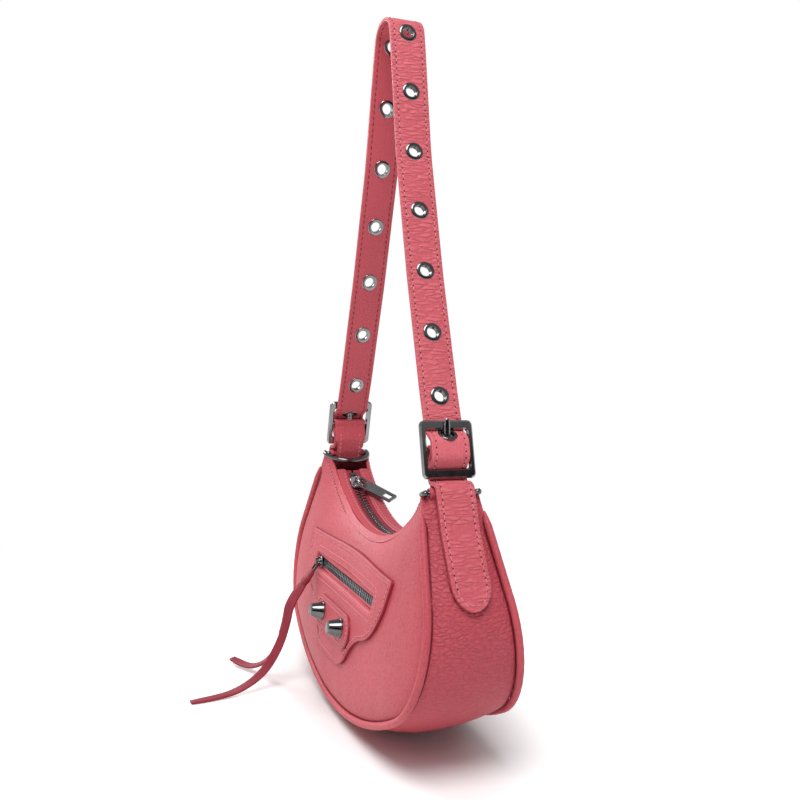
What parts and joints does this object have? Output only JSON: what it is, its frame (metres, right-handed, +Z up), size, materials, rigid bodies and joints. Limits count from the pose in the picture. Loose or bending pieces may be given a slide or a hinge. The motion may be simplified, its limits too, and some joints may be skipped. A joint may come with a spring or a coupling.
{
  "type": "half moon shoulder bag",
  "caption": "Half moon leather shoulder bag with a curved top zip, a zipped front pocket with cone studs and a lace pull, and a buckled, eyeleted short strap on D-rings.",
  "frame": {"origin": "On the table, under the middle of the bag's base.", "axes": "+X to the bag's right end, -Y out of its front with the pocket, +Z up through the strap."},
  "size_m": [0.256, 0.1545, 0.425],
  "materials": {
    "leather": "pebbled, semi-matte coral pink",
    "strap_lining": "smooth, matte, darker coral pink",
    "lace_leather": "smooth cut leather, deep coral",
    "lining": "plain woven cloth",
    "board": "plain stiff board",
    "zip_tape": "woven zip tape",
    "zip_metal": "dark plated teeth",
    "gunmetal": "polished gunmetal plating"
  },
  "bodies": {
    "bag": {"front_panel": "leather", "back_panel": "leather", "gusset": "leather", "front_piping": "leather", "back_piping": "leather", "lining_front": "lining", "lining_back": "lining", "lining_gusset": "lining", "base_board": "board", "zip_facing_front": "leather", "zip_facing_back": "leather", "top_zip_tape_front": "zip_tape", "top_zip_tape_back": "zip_tape", "top_zip_teeth_front": "zip_metal", "top_zip_teeth_back": "zip_metal", "top_zip_stops": "zip_metal", "pocket_patch": "leather", "pocket_bag": "lining", "pocket_zip_tapes": "zip_tape", "pocket_zip_teeth": "zip_metal", "pocket_zip_stops": "zip_metal", "stud_patch": "leather", "studs": "gunmetal", "stud_backs": "gunmetal", "ring_loop_left": "leather", "ring_loop_right": "leather"},
    "top_slider": {"top_slider": "gunmetal"},
    "top_puller": {"top_puller": "gunmetal"},
    "pocket_slider": {"pocket_slider": "gunmetal"},
    "pocket_pull": {"pocket_link": "gunmetal", "lace_head": "lace_leather", "lace_long": "lace_leather", "lace_short": "lace_leather"},
    "ring_left": {"ring_left": "gunmetal"},
    "ring_right": {"ring_right": "gunmetal"},
    "strap": {"strap_outer": "leather", "strap_lining": "strap_lining", "eyelet_caps": "gunmetal", "eyelet_washers": "gunmetal", "buckle_left": "gunmetal", "buckle_right": "gunmetal", "buckle_bar_left": "gunmetal", "buckle_bar_right": "gunmetal", "chape_left": "leather", "chape_right": "leather"},
    "prong_left": {"prong_left": "gunmetal"},
    "prong_right": {"prong_right": "gunmetal"}
  },
  "joints": [
    {"name": "top_zip_run", "type": "hinge", "parent": "bag", "child": "top_slider", "pos_m": [0, 0, 0.23], "axis": [0, -1, 0], "range_deg": [0, 64]},
    {"name": "top_puller_swing", "type": "hinge", "parent": "top_slider", "child": "top_puller", "pos_m": [-0.06585, 0, 0.13426], "axis": [0.4631, -0.8271, -0.3185], "range_deg": [0, 75]},
    {"name": "pocket_zip_run", "type": "slide", "parent": "bag", "child": "pocket_slider", "axis": [1, 0, 0], "range_m": [0, 0.1]},
    {"name": "pocket_pull_swing", "type": "hinge", "parent": "pocket_slider", "child": "pocket_pull", "pos_m": [-0.0503, -0.03132, 0.083], "axis": [-1, 0, 0], "range_deg": [0, 60]},
    {"name": "ring_left_tilt", "type": "hinge", "parent": "bag", "child": "ring_left", "pos_m": [-0.0924, 0, 0.1502], "axis": [0, -1, 0], "range_deg": [0, 40]},
    {"name": "ring_right_tilt", "type": "hinge", "parent": "bag", "child": "ring_right", "pos_m": [0.0924, 0, 0.1502], "axis": [0, 1, 0], "range_deg": [0, 40]},
    {"name": "strap_swing", "type": "hinge", "parent": "bag", "child": "strap", "pos_m": [0, 0, 0.1502], "axis": [1, 0, 0], "range_deg": [-4.5, 4.5], "deforming": ["chape_left", "chape_right"]},
    {"name": "prong_left_lift", "type": "hinge", "parent": "strap", "child": "prong_left", "pos_m": [-0.087, 0, 0.1728], "axis": [0, -1, 0], "range_deg": [0, 3]},
    {"name": "prong_right_lift", "type": "hinge", "parent": "strap", "child": "prong_right", "pos_m": [0.087, 0, 0.1728], "axis": [0, 1, 0], "range_deg": [0, 3]}
  ]
}
